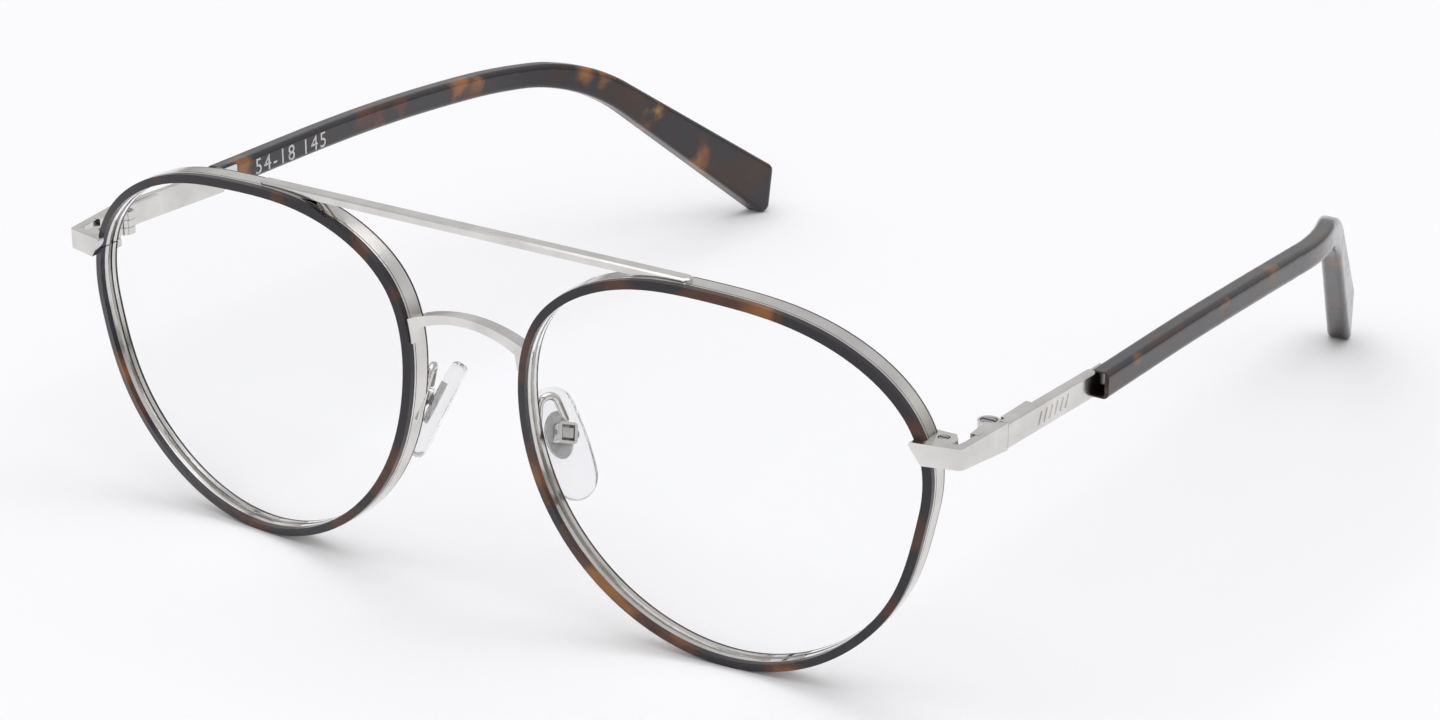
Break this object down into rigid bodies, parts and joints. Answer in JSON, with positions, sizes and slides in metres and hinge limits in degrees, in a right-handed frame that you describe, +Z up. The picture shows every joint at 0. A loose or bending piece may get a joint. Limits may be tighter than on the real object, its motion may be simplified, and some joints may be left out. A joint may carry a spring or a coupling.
{
  "type": "full rim double bridge eyeglasses",
  "caption": "Round full-rim metal eyeglasses with a straight top bar over an arched bridge, clear lenses, rocking silicone nose pads and folding temples with acetate tips.",
  "frame": {"origin": "Centre of the bounding box's footprint, on the plane the rims and temple tips stand on.", "axes": "+X to the wearer's left, +Y from the lenses back towards the ears, +Z up."},
  "size_m": [0.1418, 0.1478, 0.05],
  "materials": {
    "frame_metal": "polished pale nickel silver",
    "screw_steel": "turned steel screw",
    "tortoise": "dark tortoiseshell acetate, polished",
    "dark_enamel": "dark brown acetate",
    "clear_lens": "clear coated demo lens",
    "tip_acetate": "dark havana acetate, polished",
    "pad_insert": "grey plate seen through the pad",
    "silicone": "clear silicone"
  },
  "bodies": {
    "front": {"top_bar": "frame_metal", "nose_bridge": "frame_metal", "left_eyewire": "frame_metal", "left_front_trim": "tortoise", "left_rear_trim": "dark_enamel", "left_lens": "clear_lens", "left_end_piece": "frame_metal", "left_rim_lock_upper": "frame_metal", "left_rim_lock_lower": "frame_metal", "left_rim_screw": "screw_steel", "left_hinge_front_leaf": "frame_metal", "left_hinge_screw": "screw_steel", "left_pad_box": "frame_metal", "left_pad_screw": "screw_steel", "left_pad_arm": "frame_metal", "right_eyewire": "frame_metal", "right_front_trim": "tortoise", "right_rear_trim": "dark_enamel", "right_lens": "clear_lens", "right_end_piece": "frame_metal", "right_rim_lock_upper": "frame_metal", "right_rim_lock_lower": "frame_metal", "right_rim_screw": "screw_steel", "right_hinge_front_leaf": "frame_metal", "right_hinge_screw": "screw_steel", "right_pad_box": "frame_metal", "right_pad_screw": "screw_steel", "right_pad_arm": "frame_metal"},
    "left_arm": {"left_hinge_rear_leaf": "frame_metal", "left_temple": "frame_metal", "left_temple_tip": "tip_acetate"},
    "left_pad": {"left_nose_pad": "silicone", "left_pad_insert": "pad_insert"},
    "right_arm": {"right_hinge_rear_leaf": "frame_metal", "right_temple": "frame_metal", "right_temple_tip": "tip_acetate"},
    "right_pad": {"right_nose_pad": "silicone", "right_pad_insert": "pad_insert"}
  },
  "joints": [
    {"name": "left_temple_hinge", "type": "hinge", "parent": "front", "child": "left_arm", "pos_m": [0.0666, -0.06032, 0.0343], "axis": [0, 0, 1], "range_deg": [0, 84]},
    {"name": "right_temple_hinge", "type": "hinge", "parent": "front", "child": "right_arm", "pos_m": [-0.0666, -0.06032, 0.0343], "axis": [0, 0, -1], "range_deg": [0, 72]},
    {"name": "left_pad_rock", "type": "hinge", "parent": "front", "child": "left_pad", "pos_m": [0.01105, -0.06742, 0.02383], "axis": [0.4886, 0.8264, -0.2799], "range_deg": [-8, 8]},
    {"name": "right_pad_rock", "type": "hinge", "parent": "front", "child": "right_pad", "pos_m": [-0.01105, -0.06742, 0.02383], "axis": [0.4886, -0.8264, 0.2799], "range_deg": [-8, 8]}
  ]
}
